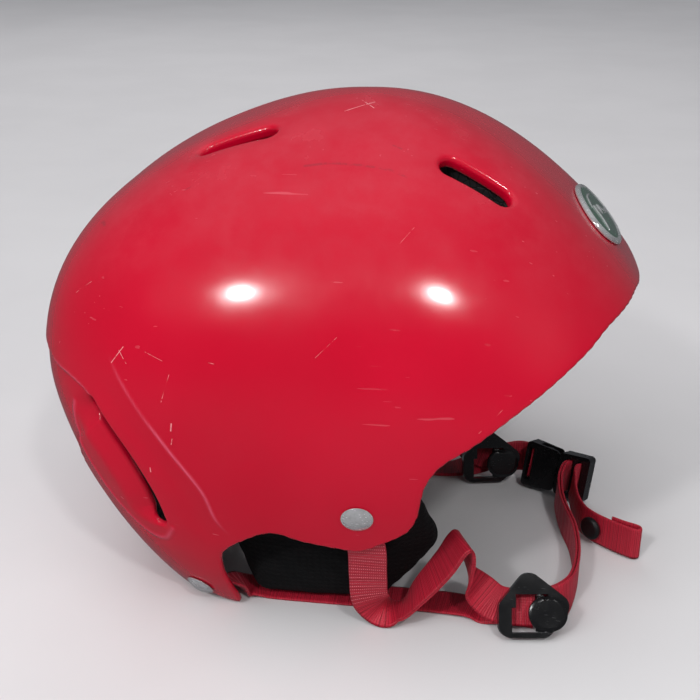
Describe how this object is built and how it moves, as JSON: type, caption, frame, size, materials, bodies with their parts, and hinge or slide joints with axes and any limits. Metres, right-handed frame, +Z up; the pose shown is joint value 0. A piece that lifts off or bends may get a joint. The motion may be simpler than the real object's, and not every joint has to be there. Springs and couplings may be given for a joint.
{
  "type": "ski helmet",
  "caption": "Open-face ski helmet shell with vents, foam liner, comfort and ear pads, riveted webbing straps, lever strap dividers and a side-release chin buckle.",
  "frame": {"origin": "centre of the footprint, on the table the helmet rests on", "axes": "+X out of the face opening, +Y to the wearer's left, +Z up through the crown"},
  "size_m": [0.2617, 0.2188, 0.2066],
  "materials": {
    "shell_red": "gloss moulded shell, lightly scratched",
    "liner_foam": "black expanded foam",
    "comfort_fabric": "brushed black lining",
    "ear_fabric": "soft black fleece",
    "rivet_steel": "polished rivet",
    "badge_face": null,
    "badge_chrome": "bright bezel",
    "shell_webbing": "ribbed and stitched nylon webbing",
    "chin_webbing": "ribbed nylon webbing",
    "divider_plastic": "moulded black",
    "pin_steel": "plain pin",
    "buckle_plastic": "moulded black",
    "button_plastic": "moulded black"
  },
  "bodies": {
    "helmet": {"outer_shell": "shell_red", "foam_liner": "liner_foam", "crown_pad": "comfort_fabric", "brow_pad": "comfort_fabric", "nape_pad": "comfort_fabric", "side_pad_right": "comfort_fabric", "side_pad_left": "comfort_fabric", "ear_pad_snaps": "rivet_steel", "ear_rivet_right": "rivet_steel", "ear_rivet_left": "rivet_steel", "rear_rivet_right": "rivet_steel", "rear_rivet_left": "rivet_steel", "rivet_washers": "rivet_steel", "front_badge": "badge_face", "badge_bezel": "badge_chrome", "front_strap_right": "shell_webbing", "rear_strap_right": "shell_webbing", "front_strap_left": "shell_webbing", "rear_strap_left": "shell_webbing", "divider_right": "divider_plastic", "divider_left": "divider_plastic", "lever_pin_right": "pin_steel", "lever_pin_left": "pin_steel", "buckle_strap_left": "chin_webbing", "buckle_socket": "buckle_plastic"},
    "ear_pad_r": {"ear_pad_right": "ear_fabric"},
    "ear_pad_l": {"ear_pad_left": "ear_fabric"},
    "lever_r": {"divider_lever_right": "divider_plastic"},
    "lever_l": {"divider_lever_left": "divider_plastic"},
    "plug": {"buckle_plug": "buckle_plastic", "chin_strap": "chin_webbing", "strap_tail": "chin_webbing", "tail_button": "button_plastic"}
  },
  "joints": [
    {"name": "ear_pad_right_swing", "type": "hinge", "parent": "helmet", "child": "ear_pad_r", "pos_m": [0, -0.084, 0.069], "axis": [1, 0, 0], "range_deg": [0, 20], "stiffness_Nm_per_rad": 2, "springref_deg": -6.88},
    {"name": "ear_pad_left_swing", "type": "hinge", "parent": "helmet", "child": "ear_pad_l", "pos_m": [0, 0.084, 0.069], "axis": [-1, 0, 0], "range_deg": [0, 20], "stiffness_Nm_per_rad": 2, "springref_deg": -6.88},
    {"name": "lever_right_open", "type": "hinge", "parent": "helmet", "child": "lever_r", "pos_m": [0.08411, -0.07365, 0.011], "axis": [0.0758, -0.5393, -0.8387], "range_deg": [0, 50]},
    {"name": "lever_left_open", "type": "hinge", "parent": "helmet", "child": "lever_l", "pos_m": [0.06473, 0.0518, 0.01132], "axis": [0.059, -0.3033, -0.9511], "range_deg": [0, 50]},
    {"name": "buckle_release", "type": "slide", "parent": "helmet", "child": "plug", "axis": [0.8746, -0.4848, 0], "range_m": [0, 0.022], "deforming": ["chin_strap"]}
  ]
}
